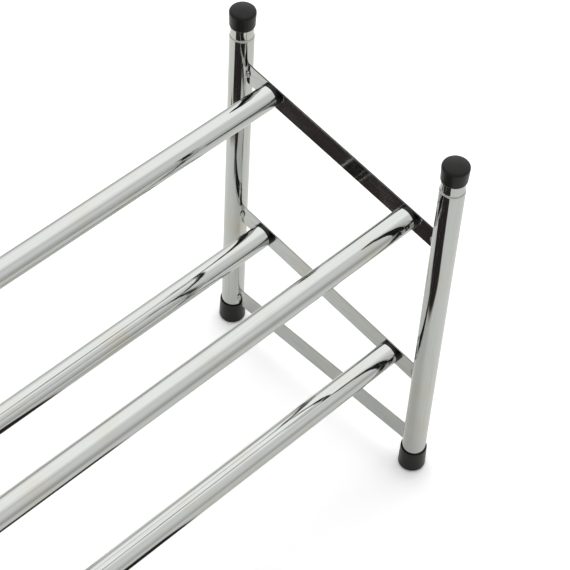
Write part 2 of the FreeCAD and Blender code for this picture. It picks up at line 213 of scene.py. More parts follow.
@dataclass(frozen=True)
class ChromePlate:
    """Bright decorative chrome over nickel on drawn steel.

    The plate is a mirror. The steel under it keeps the long shallow waves of drawing and polishing,
    so what it mirrors bends a little along its edges. Real polishing lines are finer than a tenth of
    a millimetre, and they are drawn as coarse as they need to show.

    A noise is given by its detail and roughness. Levels are the two values of a noise between which
    the change that they are named for sets in.
    """

    name: str
    run: Run = Run.UPRIGHT
    colour: str = "#c7c9c7"
    warm: str = "#c6c3b8"
    warm_levels: Span = (0.52, 0.78)
    score: str = "#a3a5a2"
    score_levels: Span = (0.5, 0.72)
    scoring: float = 0.25
    polish: float = 0.045
    haze: float = 0.11
    haze_levels: Span = (0.48, 0.8)
    haze_size: float = 38.0
    haze_noise: Span = (4.0, 0.55)
    wave_across: float = 9.0
    wave_along: float = 60.0
    wave_height: float = 0.018
    wave_noise: Span = (1.5, 0.4)
    line_across: float = 1.3
    line_along: float = 80.0
    line_height: float = 0.015
    line_noise: Span = (2.0, 0.6)

    def material(self) -> Material:
        """Make the material.

        Returns:
            Polished chrome with drawing waves, polishing lines and a faint uneven haze.
        """
        material, tree = new_material(self.name)
        place = add_node(tree, "TexCoord").outputs["Object"]
        patterns = (
            (self.stretched(tree, place, self.wave_across, self.wave_along), 1.0, self.wave_noise),
            (self.stretched(tree, place, self.line_across, self.line_along), 1.0, self.line_noise),
            (place, 1 / (self.haze_size * MM), self.haze_noise),
        )
        waves, lines, smudges = (
            add_node(
                tree,
                "TexNoise",
                {"Vector": where, "Scale": scale, "Detail": detail, "Roughness": roughness},
            )
            for where, scale, (detail, roughness) in patterns
        )
        warmth = add_node(tree, "MapRange", (smudges, *self.warm_levels))
        scores = add_node(tree, "MapRange", (lines, *self.score_levels, 0.0, self.scoring))
        colour = linear(self.colour)
        for share, change in ((warmth, self.warm), (scores, self.score)):
            colours = {"Factor": share, "A": colour, "B": linear(change)}
            colour = add_node(tree, "Mix", colours, data_type="RGBA")
        hazed = (smudges, *self.haze_levels, self.polish, self.haze)
        colour, rough = self.finished(tree, colour, add_node(tree, "MapRange", hazed))
        waved = add_node(tree, "Bump", {"Height": waves, "Distance": self.wave_height * MM})
        relief = {"Height": lines, "Distance": self.line_height * MM, "Normal": waved}
        plate = {
            "Base Color": colour,
            "Metallic": 1.0,
            "Roughness": rough,
            "Normal": add_node(tree, "Bump", relief),
        }
        close_surface(tree, add_node(tree, "BsdfPrincipled", plate))
        return material

    def finished(self, tree: Tree, colour: Node, rough: Node) -> tuple[Node, Node]:
        """Return the plate's colour and roughness as they are."""
        return colour, rough

    def stretched(self, tree: Tree, place: Socket, across: float, along: float) -> Node:
        """Stretch coordinates along the draw.

        Args:
            tree: The material's tree.
            place: Object coordinates.
            across: Size of one feature across the draw, in millimetres.
            along: Size of one feature along it.

        Returns:
            Coordinates in which one feature is one unit long.
        """
        lengths = {
            Run.UPRIGHT: (across, across, along),
            Run.ALONG_X: (along, across, across),
            Run.AGAINST_X: (along, across, across),
            Run.ALONG_Y: (across, along, across),
        }[self.run]
        scale = tuple(1 / (length * MM) for length in lengths)
        return add_node(tree, "Mapping", {"Vector": place, "Scale": scale})


@dataclass(frozen=True)
class SlitStrip(ChromePlate):
    """Chrome plate on slit strip: its two faces are mirrors, and its slit edges are coarse and grey. A
    darker edge colour paints a dark reflection on them.

    The edge levels are how squarely a surface faces along X, from a face to an edge.
    """

    edge_colour: str = "#a3a19b"
    edge_rough: float = 0.3
    edge_levels: Span = (0.97, 0.8)

    def finished(self, tree: Tree, colour: Node, rough: Node) -> tuple[Node, Node]:
        """Turn the plate grey and coarse where the strip was slit.

        Args:
            tree: The material's tree.
            colour: The plate's colour.
            rough: The plate's roughness.

        Returns:
            Colour and roughness of faces and edges together.
        """
        normal = add_node(tree, "TexCoord").outputs["Normal"]
        sideways = add_node(tree, "SeparateXYZ", (normal,)).outputs["X"]
        squarely = add_node(tree, "Math", (sideways,), operation="ABSOLUTE")
        edge = add_node(tree, "MapRange", (squarely, *self.edge_levels))
        colours = {"Factor": edge, "A": colour, "B": linear(self.edge_colour)}
        roughs = {"Factor": edge, "A": rough, "B": self.edge_rough}
        return add_node(tree, "Mix", colours, data_type="RGBA"), add_node(tree, "Mix", roughs)


@dataclass(frozen=True)
class MouldedPlastic:
    """Black polyethylene or nylon, injection moulded in a spark-eroded tool.

    The tool's grain breaks the light into a soft satin sheen, and handling has left faint clouds
    that are a little paler and duller. Real grain is about a tenth of a millimetre, and it is drawn
    as coarse as it needs to show. Noises and levels are given as for ChromePlate.
    """

    name: str
    colour: str = "#181817"
    scuffed: str = "#292827"
    scuff_levels: Span = (0.5, 0.85)
    scuffing: float = 0.7
    satin: float = 0.3
    dull: float = 0.42
    dull_levels: Span = (0.3, 0.75)
    grain: float = 0.45
    grain_height: float = 0.012
    grain_noise: Span = (2.0, 0.5)
    cloud: float = 7.0
    cloud_noise: Span = (5.0, 0.6)
    refraction: float = 1.5
    gloss_level: float = 0.24
    bloom: float = 0.28
    bloom_rough: float = 0.28

    def material(self) -> Material:
        """Make the material.

        Returns:
            Satin black plastic with tool grain and faint scuffs.
        """
        material, tree = new_material(self.name)
        place = add_node(tree, "TexCoord").outputs["Object"]
        clouds, grains = (
            add_node(
                tree,
                "TexNoise",
                {"Vector": place, "Scale": 1 / (size * MM), "Detail": detail, "Roughness": roughness},
            )
            for size, (detail, roughness) in (
                (self.cloud, self.cloud_noise),
                (self.grain, self.grain_noise),
            )
        )
        scuffs = add_node(tree, "MapRange", (clouds, *self.scuff_levels, 0.0, self.scuffing))
        colours = {"Factor": scuffs, "A": linear(self.colour), "B": linear(self.scuffed)}
        sheens = (clouds, *self.dull_levels, self.satin, self.dull)
        relief = {"Height": grains, "Distance": self.grain_height * MM}
        plastic = {
            "Base Color": add_node(tree, "Mix", colours, data_type="RGBA"),
            "Roughness": add_node(tree, "MapRange", sheens),
            "IOR": self.refraction,
            "Specular IOR Level": self.gloss_level,
            "Sheen Weight": self.bloom,
            "Sheen Roughness": self.bloom_rough,
            "Normal": add_node(tree, "Bump", relief),
        }
        close_surface(tree, add_node(tree, "BsdfPrincipled", plastic))
        return material


@dataclass(frozen=True)
class ZincScrewSteel:
    """Bright zinc on a cold-headed steel screw: pale, soft-edged and a little cloudy.

    The cloud is given as the noises and levels of ChromePlate are.
    """

    name: str
    colour: str = "#b9bab8"
    dark: str = "#9c9d9c"
    bright: float = 0.2
    dull: float = 0.36
    dull_levels: Span = (0.3, 0.8)
    cloud: float = 2.5
    cloud_height: float = 0.01
    cloud_noise: Span = (4.0, 0.6)

    def material(self) -> Material:
        """Make the material.

        Returns:
            Zinc-plated steel with a faint cloud in colour and roughness.
        """
        material, tree = new_material(self.name)
        place = add_node(tree, "TexCoord").outputs["Object"]
        detail, roughness = self.cloud_noise
        clouds = add_node(
            tree,
            "TexNoise",
            {"Vector": place, "Scale": 1 / (self.cloud * MM), "Detail": detail, "Roughness": roughness},
        )
        colours = {"Factor": clouds, "A": linear(self.colour), "B": linear(self.dark)}
        sheens = (clouds, *self.dull_levels, self.bright, self.dull)
        relief = {"Height": clouds, "Distance": self.cloud_height * MM}
        zinc = {
            "Base Color": add_node(tree, "Mix", colours, data_type="RGBA"),
            "Metallic": 1.0,
            "Roughness": add_node(tree, "MapRange", sheens),
            "Normal": add_node(tree, "Bump", relief),
        }
        close_surface(tree, add_node(tree, "BsdfPrincipled", zinc))
        return material


@dataclass
class Finishes:
    """Every finish of the rack, made once."""

    post: Material = field(init=False)
    tube: Material = field(init=False)
    strip: Material = field(init=False)
    top_strip: Material = field(init=False)
    weld: Material = field(init=False)
    zinc: Material = field(init=False)
    black: Material = field(init=False)
    insert: Material = field(init=False)

    def __post_init__(self) -> None:
        """Make the materials."""
        self.post = ChromePlate("chromed drawn steel tube, upright").material()
        self.tube = ChromePlate(
            "chromed drawn steel tube, level",
            Run.ALONG_X,
            line_across=1.1,
            line_along=110.0,
            line_height=0.022,
        ).material()
        strip = SlitStrip(
            "chromed cold-rolled steel strip",
            Run.ALONG_Y,
            polish=0.06,
            haze=0.12,
            wave_across=16.0,
            wave_along=45.0,
            line_across=0.9,
            line_along=22.0,
            line_height=0.0015,
            scoring=0.6,
        )
        self.strip = strip.material()
        # The upper strip's dark edge colour is a painted dark reflection, to go with the dark mirror
        # image on its faces.
        self.top_strip = replace(
            strip, name="chromed cold-rolled steel strip, dull slit edges", edge_colour="#504e4b"
        ).material()
        self.weld = ChromePlate(
            "chromed weld bead",
            polish=0.06,
            haze=0.16,
            wave_across=1.6,
            wave_along=1.2,
            wave_height=0.14,
        ).material()
        self.zinc = ZincScrewSteel("zinc-plated steel screw").material()
        self.black = MouldedPlastic("moulded black polyethylene").material()
        self.insert = MouldedPlastic(
            "moulded black nylon", colour="#0e0e0d", scuffed="#181817"
        ).material()


# --- modelling --------------------------------------------------------------------------------


def only(piece: Piece) -> None:
    """Make one object the only selected one and the active one.

    Args:
        piece: The object.
    """
    bpy.ops.object.select_all(action="DESELECT")
    piece.select_set(True)
    bpy.context.view_layer.objects.active = piece


@contextmanager
def shaping(piece: Piece, kind: str = "VERT") -> Iterator[None]:
    """Edit a piece, with nothing selected to begin with.

    Args:
        piece: The mesh object to edit.
        kind: VERT, EDGE or FACE, what is selected by.

    Yields:
        Nothing; the piece is in edit mode meanwhile.
    """
    only(piece)
    bpy.ops.object.mode_set(mode="EDIT")
    bpy.ops.mesh.select_mode(type=kind)
    bpy.ops.mesh.select_all(action="DESELECT")
    yield
    bpy.ops.object.mode_set(mode="OBJECT")


def pick_vertices(piece: Piece, wanted: Callable[[Vector], bool]) -> None:
    """In edit mode, select the vertices at wanted places, and what lies between them.

    Args:
        piece: The mesh object in edit mode.
        wanted: Says of a place, in metres, whether its vertex is selected.
    """
    mesh = bmesh.from_edit_mesh(piece.data)
    for vertex in mesh.verts:
        vertex.select_set(wanted(vertex.co))
    mesh.select_flush_mode()
    mesh.select_flush(True)
    bmesh.update_edit_mesh(piece.data)


@dataclass(frozen=True)
class Ring:
    """One corner of a turned outline: its radius and height, and how far it is rounded."""

    radius: float
    height: float
    rounding: float = 0.0

    def holds(self, place: Vector) -> bool:
        """Return whether a place, in metres, lies on this ring."""
        off_radius = abs(math.hypot(place.x, place.y) - self.radius * MM)
        return max(off_radius, abs(place.z - self.height * MM)) < PICK_GAP * MM


def turned(name: str, rings: list[Ring], sides: int = ROUND_SIDES) -> Piece:
    """Raise a circle ring by ring through an outline, then round the rings that ask for it.

    A ring of radius 0 at both ends is a pole. Without poles the last ring joins the first.

    Args:
        name: The piece's name.
        rings: The outline, corner by corner.
        sides: How many sides the circle has.

    Returns:
        The piece, upright on the origin.
    """
    has_poles = rings[0].radius == 0
    first = rings[1] if has_poles else rings[0]
    climb = rings[2:] if has_poles else [*rings[1:], rings[0]]
    bpy.ops.object.select_all(action="DESELECT")
    bpy.ops.mesh.primitive_circle_add(
        vertices=sides, radius=first.radius * MM, location=(0, 0, first.height * MM)
    )
    piece = bpy.context.object
    piece.name = piece.data.name = name
    bpy.ops.object.transform_apply(location=True, rotation=True, scale=True)
    with shaping(piece):
        bpy.ops.mesh.select_all(action="SELECT")
        below = first
        for ring in climb:
            raise_ring(below, ring)
            below = ring
        if has_poles:
            bpy.ops.mesh.select_all(action="DESELECT")
            pick_vertices(piece, first.holds)
            raise_ring(first, rings[0])
        bpy.ops.mesh.select_all(action="SELECT")
        bpy.ops.mesh.remove_doubles(threshold=MERGE_GAP * MM)
        bpy.ops.mesh.normals_make_consistent(inside=False)
    for ring in rings:
        if ring.rounding:
            with shaping(piece, "EDGE"):
                pick_vertices(piece, ring.holds)
                bpy.ops.mesh.bevel(
                    offset=ring.rounding * MM, segments=ROUNDING_STEPS, profile=0.5, affect="EDGES"
                )
    return smoothed(piece)


def raise_ring(below: Ring, ring: Ring) -> None:
    """Extrude the selected ring of edges to the next corner.

    Args:
        below: The ring that is selected.
        ring: The ring to reach.
    """
    rise = (0, 0, (ring.height - below.height) * MM)
    bpy.ops.mesh.extrude_region_move(TRANSFORM_OT_translate={"value": rise})
    share = ring.radius / below.radius
    middle = (0, 0, ring.height * MM)
    bpy.ops.transform.resize(value=(share, share, 1), center_override=middle)


def smoothed(piece: Piece) -> Piece:
    """Shade a piece smooth, with its long faces kept straight.

    Args:
        piece: The mesh object.

    Returns:
        The same piece.
    """
    only(piece)
    bpy.ops.object.shade_smooth_by_angle(angle=SMOOTH_ANGLE)
    weighted = piece.modifiers.new("straight faces", "WEIGHTED_NORMAL")
    weighted.mode = "FACE_AREA"
    weighted.weight = LARGE_FACE_WEIGHT
    weighted.keep_sharp = True
    bpy.ops.object.modifier_apply(modifier=weighted.name)
    return piece


def laid(piece: Piece, run: Run, place: Place) -> Piece:
    """Turn an upright piece along its run and move it to its place, in its mesh.

    Args:
        piece: A piece that stands on the origin.
        run: Where its Z is to point.
        place: Where its origin goes, in millimetres.

    Returns:
        The same piece.
    """
    only(piece)
    piece.rotation_euler = run.value
    piece.location = Vector(place) * MM
    bpy.ops.object.transform_apply(location=True, rotation=True, scale=True)
    return piece


def copied(piece: Piece, name: str) -> Piece:
    """Copy a piece with its own mesh.

    Args:
        piece: The piece to copy.
        name: The copy's name.

    Returns:
        The copy.
    """
    only(piece)
    bpy.ops.object.duplicate(linked=False)
    copy = bpy.context.object
    copy.name = copy.data.name = name
    return copy


def dress(piece: Piece, material: Material, slot: Slot) -> None:
    """Give a piece its only material.

    Args:
        piece: A new piece or a CAD node.
        material: The finish.
        slot: The record's slot that it stands for; not used.
    """
    if piece.material_slots:
        for socket in piece.material_slots:
            socket.material = material
    else:
        piece.data.materials.append(material)
    log.info("%s is %s", piece.name, material.name)


def stand_for(piece: Piece, body: str, *nodes: str) -> None:
    """Let a piece ride on a body in place of CAD nodes, and report it.

    Args:
        piece: The finished piece.
        body: The CAD body that it moves with.
        nodes: The CAD nodes that it replaces.
    """
    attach(piece, body)
    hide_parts(*nodes)
    log.info("%s rides on %s for %s", piece.name, body, ", ".join(nodes))


# --- end frames -------------------------------------------------------------------------------


@dataclass
class Posts:
    """The four corner posts with their caps and feet.

    A post is a tube whose top is swaged to a smaller neck, which the cap is pushed over, so that the
    cap hardly stands out from the post.
    """

    finishes: Finishes
    tube_radius: float = 9.5
    tube_wall: float = 1.2
    neck_radius: float = 8.8
    neck_wall: float = 1.2
    swage_from: float = 323.0
    swage_to: float = 324.2
    swage_round: float = 0.4
    cap_rim_radius: float = 9.75
    cap_top_radius: float = 10.35
    cap_cavity_radius: float = 8.85
    cap_crown: float = 2.2
    cap_roof: float = 3.0
    cap_edge_round: float = 1.7
    cap_dome_shares: tuple[float, ...] = (0.0, 0.25, 0.5, 0.7)
    cap_side_height: float = 3.2
    cap_side_share: float = 0.25
    cap_rim_draft: float = 0.2
    cap_bead_depth: float = 0.14
    cap_bead_top: float = 2.0
    cap_bead_top_round: float = 0.5
    cap_bead_foot: float = 0.9
    cap_bead_foot_round: float = 0.3
    foot_rim_radius: float = 10.6
    foot_floor_radius: float = 11.2
    foot_cavity_radius: float = 9.55
    foot_sole: float = 3.0
    foot_edge_round: float = 2.5
    foot_recess: float = 0.9
    foot_recess_slope: float = 0.8
    foot_tread: float = 1.2
    rim_round: float = 0.3

    def build(self) -> None:
        """Build a post, a cap and a foot once, and copy each to the four corners."""
        makers = {"post": self.post, "cap": self.cap, "foot": self.foot}
        looks = {
            "post": (self.finishes.post, Slot.CHROME),
            "cap": (self.finishes.black, Slot.BLACK),
            "foot": (self.finishes.black, Slot.BLACK),
        }
        for kind, make in makers.items():
            master = make()
            for side in Side:
                for row in Row:
                    node = f"{kind}_{row.word}_{side.word}"
                    low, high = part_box(node)
                    middle = (low + high) / 2 / MM
                    piece = laid(copied(master, f"{node}_turned"), Run.UPRIGHT, (middle.x, middle.y, 0))
                    dress(piece, *looks[kind])
                    stand_for(piece, side.body, node)
            bpy.data.objects.remove(master)

    def post(self) -> Piece:
        """Turn a post with its swaged neck.

        Returns:
            The post, at its height over the origin.
        """
        low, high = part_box("post_front_right")
        foot_end, neck_end = low.z / MM, high.z / MM
        bore = self.tube_radius - self.tube_wall
        neck_bore = self.neck_radius - self.neck_wall
        return turned(
            "post",
            [
                Ring(bore, foot_end),
                Ring(self.tube_radius, foot_end),
                Ring(self.tube_radius, self.swage_from, self.swage_round),
                Ring(self.neck_radius, self.swage_to, self.swage_round),
                Ring(self.neck_radius, neck_end),
                Ring(neck_bore, neck_end),
                Ring(neck_bore, self.swage_to),
                Ring(bore, self.swage_from),
            ],
        )

    def cap(self) -> Piece:
        """Turn a cap: a cup with a softly domed top and a faint bead round its rim.

        Returns:
            The cap, at its height over the origin.
        """
        low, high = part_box("cap_front_right")
        rim, crown = low.z / MM, high.z / MM
        shoulder = crown - self.cap_crown
        dome = [
            Ring(share * self.cap_top_radius, crown - self.cap_crown * share**2)
            for share in self.cap_dome_shares
        ]
        flare = self.cap_top_radius - self.cap_rim_radius
        beaded = self.cap_rim_radius + self.cap_bead_depth
        return turned(
            "cap",
            [
                *dome,
                Ring(self.cap_top_radius, shoulder, self.cap_edge_round),
                Ring(self.cap_rim_radius + self.cap_side_share * flare, rim + self.cap_side_height),
                Ring(beaded, rim + self.cap_bead_top, self.cap_bead_top_round),
                Ring(beaded, rim + self.cap_bead_foot, self.cap_bead_foot_round),
                Ring(self.cap_rim_radius - self.cap_rim_draft, rim, self.rim_round),
                Ring(self.cap_cavity_radius, rim, self.rim_round),
                Ring(self.cap_cavity_radius, crown - self.cap_roof),
                Ring(0.0, crown - self.cap_roof),
            ],
        )

    def foot(self) -> Piece:
        """Turn a foot: a cup that flares to the floor, with a rolled edge and a recessed sole.

        Returns:
            The foot, at its height over the origin.
        """
        low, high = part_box("foot_front_right")
        floor, rim = low.z / MM, high.z / MM
        tread_radius = self.foot_floor_radius - self.foot_edge_round - self.foot_tread
        return turned(
            "foot",
            [
                Ring(0.0, floor + self.foot_recess),
                Ring(tread_radius - self.foot_recess_slope, floor + self.foot_recess),
                Ring(tread_radius, floor),
                Ring(self.foot_floor_radius, floor, self.foot_edge_round),
                Ring(self.foot_rim_radius, rim, self.rim_round),
                Ring(self.foot_cavity_radius, rim, self.rim_round),
                Ring(self.foot_cavity_radius, floor + self.foot_sole),
                Ring(0.0, floor + self.foot_sole),
            ],
        )


@dataclass
class Strips:
    """The flat strips of both end frames, and the weld beads in their corners."""

    finishes: Finishes
    kinds: tuple[str, ...] = ("tier_strip_upper", "tier_strip_lower", "base_strip")
    bead_length: float = 6.4
    bead_radius: float = 2.1
    bluntness: int = 4
    ripple: float = 0.22
    ripples: int = 4
    rings_per_ripple: int = 4

    def build(self) -> None:
        """Dress the strips and lay the weld beads."""
        bead = self.bead()
        for side in Side:
            for kind in self.kinds:
                # The upper strips get edges painted dark as a reflection; the others keep plain grey
                # slit edges.
                is_top = kind == "tier_strip_upper"
                look = self.finishes.top_strip if is_top else self.finishes.strip
                dress(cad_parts[f"{kind}_{side.word}"], look, Slot.CHROME)
            self.weld(side, bead)
        bpy.data.objects.remove(bead)

    def bead(self) -> Piece:
        """Turn one weld bead: a blunt run with the ripples that the puddle leaves.

        Returns:
            The bead, upright with its middle on the origin.
        """
        count = self.ripples * self.rings_per_ripple
        rings = [Ring(0.0, -self.bead_length / 2)]
        for number in range(count):
            share = (number + 0.5) / count
            blunt = (1 - abs(2 * share - 1) ** self.bluntness) ** 0.5
            wave = math.sin(share * self.ripples * 2 * math.pi)
            radius = (self.bead_radius - self.ripple) * blunt + self.ripple * wave * blunt
            rings.append(Ring(radius, (share - 0.5) * self.bead_length))
        rings.append(Ring(0.0, self.bead_length / 2))
        return turned("bead", rings, BEAD_SIDES)

    def weld(self, side: Side, bead: Piece) -> None:
        """Lay the beads of one frame: both faces of both ends of each strip.

        Args:
            side: The end frame.
            bead: The bead to copy.
        """
        base_low, base_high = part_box(f"base_strip_{side.word}")
        half_width = (base_high.z - base_low.z) / 2
        beads = []
        for kind in self.kinds:
            low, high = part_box(f"{kind}_{side.word}")
            for row in Row:
                end = low if row is Row.FRONT else high
                height = end.z - row.value * half_width
                for face in (low.x, high.x):
                    copy = copied(bead, f"bead_{len(beads)}")
                    beads.append(laid(copy, Run.UPRIGHT, (face / MM, end.y / MM, height / MM)))
        bpy.ops.object.select_all(action="DESELECT")
        for piece in beads:
            piece.select_set(True)
        bpy.context.view_layer.objects.active = beads[0]
        bpy.ops.object.join()
        joined = bpy.context.object
        joined.name = joined.data.name = f"weld_beads_{side.word}"
        dress(joined, self.finishes.weld, Slot.CHROME)
        stand_for(joined, side.body, f"welds_{side.word}")


# --- sliding tubes ----------------------------------------------------------------------------


@dataclass
class SlidingTubes:
    """The four pairs of outer and inner tube, with the plugs, bushes and screws in their ends."""

    finishes: Finishes
    outer_radius: float = 9.5
    outer_wall: float = 0.9
    inner_radius: float = 8.0
    inner_wall: float = 0.9
    end_round: float = 0.35
    plug_flange: float = 3.5
    plug_length: float = 20.0
    plug_flange_round: float = 0.4
    screw_bore: float = 3.05
    barb_depth: float = 0.6
    push_play: float = 0.05
    bush_flange: float = 3.0
    bush_length: float = 22.0
    bush_flange_radius: float = 10.4
    bush_bore: float = 8.08
    bush_lead: float = 0.4
    bush_round: float = 0.8
    head_radius: float = 5.75
    head_height: float = 3.3
    head_edge_round: float = 0.2
    crown_share: float = 0.55
    crown_drop: float = 0.12
    crown_round: float = 0.8
    shoulder_share: float = 0.96
    shoulder_drop: float = 1.1
    shoulder_round: float = 1.0
    shank_radius: float = 3.0
    shank_length: float = 20.0
    tip_chamfer: float = 1.0
    cross_width: float = 1.7
    cross_length: float = 6.2
    cross_depth: float = 1.9
    cross_taper: float = 0.6

    def build(self) -> None:
        """Build each kind once and copy it to the four tubes."""
        self.set_of("outer_tube", self.outer_tube(), Side.RIGHT, Run.AGAINST_X)
        self.set_of("inner_tube", self.inner_tube(), Side.LEFT, Run.ALONG_X)
        outer_bore = self.outer_radius - self.outer_wall
        inner_bore = self.inner_radius - self.inner_wall
        self.set_of("outer_plug", self.plug(self.outer_radius, outer_bore), Side.RIGHT, Run.AGAINST_X)
        self.set_of("inner_plug", self.plug(self.inner_radius, inner_bore), Side.LEFT, Run.ALONG_X)
        self.set_of("mouth_bush", self.bush(), Side.RIGHT, Run.ALONG_X)
        for tier in Tier:
            for row in Row:
                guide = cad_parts[f"guide_plug_{tier.value}_{row.word}"]
                dress(guide, self.finishes.insert, Slot.INSERT)
        self.screws()

    def set_of(self, kind: str, master: Piece, side: Side, run: Run) -> None:
        """Copy one kind of piece to the four tubes.

        Args:
            kind: The node name's first words.
            master: The piece to copy, upright on the origin.
            side: The half that it rides on.
            run: Where its Z points.
        """
        if kind.endswith("tube"):
            look = (self.finishes.tube, Slot.CHROME)
        else:
            look = (self.finishes.insert, Slot.INSERT)
        for tier in Tier:
            for row in Row:
                node = f"{kind}_{tier.value}_{row.word}"
                low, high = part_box(node)
                middle = (low + high) / 2
                start = high.x if run is Run.AGAINST_X else low.x
                piece = copied(master, f"{node}_turned")
                laid(piece, run, (start / MM, middle.y / MM, middle.z / MM))
                dress(piece, *look)
                stand_for(piece, side.body, node)
        bpy.data.objects.remove(master)

    def tube(self, radius: float, wall: float, node: str) -> Piece:
        """Turn a plain tube with broken end edges.

        Args:
            radius: Its outer radius.
            wall: Its wall.
            node: The CAD node that gives its length.

        Returns:
            The tube.
        """
        low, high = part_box(node)
        length = (high.x - low.x) / MM
        bore = radius - wall
        return turned(
            "tube",
            [
                Ring(bore, 0.0),
                Ring(radius, 0.0, self.end_round),
                Ring(radius, length, self.end_round),
                Ring(bore, length),
            ],
        )

    def outer_tube(self) -> Piece:
        """Turn an outer tube."""
        return self.tube(self.outer_radius, self.outer_wall, "outer_tube_upper_front")

    def inner_tube(self) -> Piece:
        """Turn an inner tube."""
        return self.tube(self.inner_radius, self.inner_wall, "inner_tube_upper_front")

    def plug(self, flange: float, bore: float) -> Piece:
        """Turn an end plug: a flange, and two barbs that hold it in the tube.

        Args:
            flange: The flange's radius.
            bore: The tube's bore, on the radius.

        Returns:
            The plug, its flange on the origin.
        """
        crest = bore - self.push_play
        core = crest - self.barb_depth
        half = self.plug_flange + self.plug_length / 2
        whole = self.plug_flange + self.plug_length
        return turned(
            "plug",
            [
                Ring(self.screw_bore, 0.0),
                Ring(flange, 0.0, self.plug_flange_round),
                Ring(flange, self.plug_flange, self.plug_flange_round),
                Ring(crest, self.plug_flange),
                Ring(core, half),
                Ring(crest, half),
                Ring(core, whole),
                Ring(self.screw_bore, whole),
            ],
        )

    def bush(self) -> Piece:
        """Turn a mouth bush: a rounded flange and a thin sleeve that the inner tube slides in.

        Returns:
            The bush, its flange on the origin.
        """
        sleeve = self.outer_radius - self.outer_wall - self.push_play
        whole = self.bush_flange + self.bush_length
        return turned(
            "bush",
            [
                Ring(self.bush_bore + self.bush_lead, 0.0),
                Ring(self.bush_flange_radius, 0.0, self.bush_round),
                Ring(self.bush_flange_radius, self.bush_flange, self.end_round),
                Ring(sleeve, self.bush_flange),
                Ring(sleeve, whole),
                Ring(self.bush_bore, whole),
                Ring(self.bush_bore, 2 * self.bush_lead),
            ],
        )

    def screw(self) -> Piece:
        """Turn a pan-head screw and sink a tapered cross recess in its head.

        Returns:
            The screw, the top of its head on the origin.
        """
        whole = self.head_height + self.shank_length
        piece = turned(
            "screw",
            [
                Ring(0.0, 0.0),
                Ring(self.head_radius * self.crown_share, self.crown_drop, self.crown_round),
                Ring(self.head_radius * self.shoulder_share, self.shoulder_drop, self.shoulder_round),
                Ring(self.head_radius, self.head_height, self.head_edge_round),
                Ring(self.shank_radius, self.head_height),
                Ring(self.shank_radius, whole - self.tip_chamfer),
                Ring(self.shank_radius - self.tip_chamfer, whole),
                Ring(0.0, whole),
            ],
            SCREW_SIDES,
        )
        bars = ((self.cross_width, self.cross_length), (self.cross_length, self.cross_width))
        for across, along in bars:
            bpy.ops.object.select_all(action="DESELECT")
            bpy.ops.mesh.primitive_cube_add(size=1, location=(0, 0, 0))
            cutter = bpy.context.object
            cutter.scale = (across * MM, along * MM, 2 * self.cross_depth * MM)
            bpy.ops.object.transform_apply(location=True, rotation=True, scale=True)
            with shaping(cutter):
                pick_vertices(cutter, lambda place: place.z > 0)
                taper = (self.cross_taper, self.cross_taper, 1)
                bpy.ops.transform.resize(value=taper, center_override=(0, 0, 0))
            only(piece)
            cut = piece.modifiers.new("recess", "BOOLEAN")
            cut.operation = "DIFFERENCE"
            cut.solver = "EXACT"
            cut.object = cutter
            bpy.ops.object.modifier_apply(modifier=cut.name)
            bpy.data.objects.remove(cutter)
        return smoothed(piece)

    def screws(self) -> None:
        """Copy the screw to the eight tube ends."""
        master = self.screw()
        for side in Side:
            group = f"tube_screws_{side.word}"
            low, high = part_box(group)
            head_top = high.x if side is Side.RIGHT else low.x
            run = Run.AGAINST_X if side is Side.RIGHT else Run.ALONG_X
            for tier in Tier:
                for row in Row:
                    tube_low, tube_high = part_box(f"outer_tube_{tier.value}_{row.word}")
                    middle = (tube_low + tube_high) / 2
                    name = f"tube_screw_{tier.value}_{row.word}_{side.word}"
                    piece = copied(master, name)
                    laid(piece, run, (head_top / MM, middle.y / MM, middle.z / MM))
                    dress(piece, self.finishes.zinc, Slot.SCREW)
                    stand_for(piece, side.body, group)
        bpy.data.objects.remove(master)


# --- studio -----------------------------------------------------------------------------------


@dataclass(frozen=True)
class Patch:
    """A rectangle of the floor, and half the width over which its edges fade."""

    low_x: float
    high_x: float
    low_y: float
    high_y: float
    softness: float

    def mask(self, tree: Tree, place: Socket) -> Node:
        """Mask the rectangle.

        Args:
            tree: The floor's tree.
            place: Object coordinates.

        Returns:
            1 inside the rectangle and 0 outside.
        """
        sides = add_node(tree, "SeparateXYZ", (place,)).outputs
        inside = 1.0
        for side, edge, away in (
            (sides["X"], self.low_x, self.softness),
            (sides["X"], self.high_x, -self.softness),
            (sides["Y"], self.low_y, self.softness),
            (sides["Y"], self.high_y, -self.softness),
        ):
            span = (side, (edge - away) * MM, (edge + away) * MM)
            step = add_node(tree, "MapRange", span, interpolation_type="SMOOTHSTEP")
            inside = add_node(tree, "Math", (inside, step), operation="MULTIPLY")
        return inside


